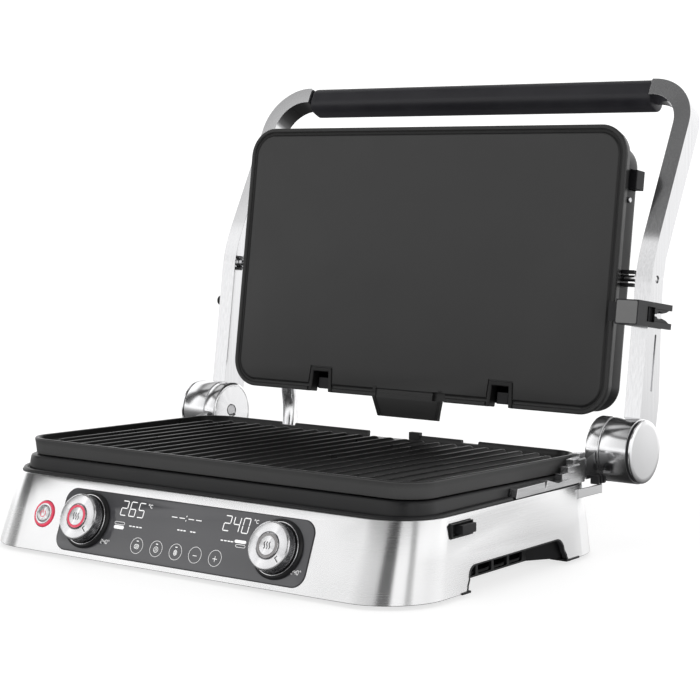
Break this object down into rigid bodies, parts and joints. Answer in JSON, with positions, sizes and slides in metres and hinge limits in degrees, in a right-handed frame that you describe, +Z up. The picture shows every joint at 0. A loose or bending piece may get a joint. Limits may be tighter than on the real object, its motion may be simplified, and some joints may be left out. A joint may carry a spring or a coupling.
{
  "type": "panini press",
  "caption": "Electric contact grill: ribbed lower plate, floating smooth upper plate on bent steel arms, dial control panel, height stop and rear drip tray.",
  "frame": {"origin": "middle of the footprint, at the level of the feet's undersides", "axes": "+X to the right of a person facing the controls, +Y to the back, +Z up"},
  "size_m": [0.4462, 0.4136, 0.3594],
  "materials": {
    "shell_steel": "brushed sheet, wrapped round the base",
    "satin_steel": "satin-polished bar and turnings",
    "dial_metal": "spun face, knurled side",
    "black_plastic": "satin moulded, heat resistant",
    "grip_plastic": "soft satin moulded",
    "plate_coating": "die-cast alloy with a dark non-stick coating",
    "panel_glass": "gloss tinted panel, printed from behind",
    "foot_rubber": "moulded",
    "red_lens": "translucent red ring",
    "inner_metal": "plain sheet and tube",
    "spring_steel": "wire",
    "circuit_board": "laminate"
  },
  "bodies": {
    "base": {"base_shell": "shell_steel", "base_deck": "black_plastic", "base_floor": "black_plastic", "foot_front_left": "foot_rubber", "foot_front_right": "foot_rubber", "foot_rear_left": "foot_rubber", "foot_rear_right": "foot_rubber", "side_vent_left": "black_plastic", "side_vent_right": "black_plastic", "power_inlet": "black_plastic", "power_board": "circuit_board", "control_panel": "panel_glass", "panel_board": "circuit_board", "display_module": "black_plastic", "knob_collar_left": "black_plastic", "knob_collar_right": "black_plastic", "encoder_left": "black_plastic", "encoder_right": "black_plastic", "start_ring": "red_lens", "release_bezel": "black_plastic", "lower_heater": "inner_metal", "lower_reflector": "inner_metal", "lower_thermostat": "black_plastic", "hinge_bracket_left": "satin_steel", "hinge_bracket_right": "satin_steel", "hinge_shaft_left": "inner_metal", "hinge_shaft_right": "inner_metal", "hinge_spring_left": "spring_steel", "hinge_spring_right": "spring_steel", "stair_ladder": "satin_steel", "lid_conduit": "satin_steel"},
    "lid_arms": {"hinge_barrel_left": "satin_steel", "hinge_barrel_right": "satin_steel", "hinge_cap_left": "satin_steel", "hinge_cap_right": "satin_steel", "arm_left": "satin_steel", "arm_right": "satin_steel", "handle_grip": "grip_plastic", "handle_tube": "inner_metal", "pivot_pin_left": "satin_steel", "pivot_pin_right": "satin_steel", "stop_pin_left": "black_plastic"},
    "lid_housing": {"upper_shell": "black_plastic", "upper_heater": "inner_metal", "upper_reflector": "inner_metal", "upper_thermostat": "black_plastic"},
    "top_plate": {"upper_plate": "plate_coating"},
    "plate_release_top": {"upper_release_button": "black_plastic"},
    "slider": {"height_slider": "black_plastic"},
    "dial_left": {"knob_left": "dial_metal"},
    "dial_right": {"knob_right": "dial_metal"},
    "sear_left": {"sear_button_left": "dial_metal"},
    "sear_right": {"sear_button_right": "dial_metal"},
    "start": {"start_button": "dial_metal"},
    "plate_release_bottom": {"lower_release_button": "black_plastic"},
    "bottom_plate": {"lower_plate": "plate_coating"},
    "tray": {"drip_tray": "black_plastic"}
  },
  "joints": [
    {"name": "lid_hinge", "type": "hinge", "parent": "base", "child": "lid_arms", "pos_m": [0, 0.086, 0.0757], "axis": [-1, 0, 0], "range_deg": [-96.6, 77], "deforming": ["lid_conduit"]},
    {"name": "float_pivot", "type": "hinge", "parent": "lid_arms", "child": "lid_housing", "pos_m": [0, 0.11819, 0.20397], "axis": [1, 0, 0], "range_deg": [0, 10], "stiffness_Nm_per_rad": 3, "springref_deg": -6.88},
    {"name": "top_plate_slide", "type": "slide", "parent": "lid_housing", "child": "top_plate", "axis": [0, -0.9902, 0.1393], "range_m": [0, 0.045]},
    {"name": "top_release_press", "type": "slide", "parent": "lid_housing", "child": "plate_release_top", "axis": [-1, 0, 0], "range_m": [0, 0.003], "stiffness_N_per_m": 900, "springref_m": -0.002},
    {"name": "height_slide", "type": "slide", "parent": "lid_arms", "child": "slider", "axis": [0, -0.1393, -0.9902], "range_m": [0, 0.047]},
    {"name": "dial_left_turn", "type": "hinge", "parent": "base", "child": "dial_left", "pos_m": [-0.0905, -0.18881, 0.02946], "axis": [0, -0.9285, 0.3714], "range_deg": [0, 270]},
    {"name": "dial_right_turn", "type": "hinge", "parent": "base", "child": "dial_right", "pos_m": [0.0905, -0.18881, 0.02946], "axis": [0, -0.9285, 0.3714], "range_deg": [0, 270]},
    {"name": "sear_left_press", "type": "slide", "parent": "dial_left", "child": "sear_left", "axis": [0, 0.9285, -0.3714], "range_m": [0, 0.0015], "stiffness_N_per_m": 900, "springref_m": -0.001},
    {"name": "sear_right_press", "type": "slide", "parent": "dial_right", "child": "sear_right", "axis": [0, 0.9285, -0.3714], "range_m": [0, 0.0015], "stiffness_N_per_m": 900, "springref_m": -0.001},
    {"name": "start_press", "type": "slide", "parent": "base", "child": "start", "axis": [0, 0.9285, -0.3714], "range_m": [0, 0.0012], "stiffness_N_per_m": 900, "springref_m": -0.001},
    {"name": "bottom_release_press", "type": "slide", "parent": "base", "child": "plate_release_bottom", "axis": [-1, 0, 0], "range_m": [0, 0.003], "stiffness_N_per_m": 900, "springref_m": -0.002},
    {"name": "bottom_plate_lift", "type": "slide", "parent": "base", "child": "bottom_plate", "axis": [0, 0.0246, 0.9997], "range_m": [0, 0.06]},
    {"name": "tray_slide", "type": "slide", "parent": "base", "child": "tray", "axis": [0, -1, 0], "range_m": [-0.06, 0]}
  ]
}
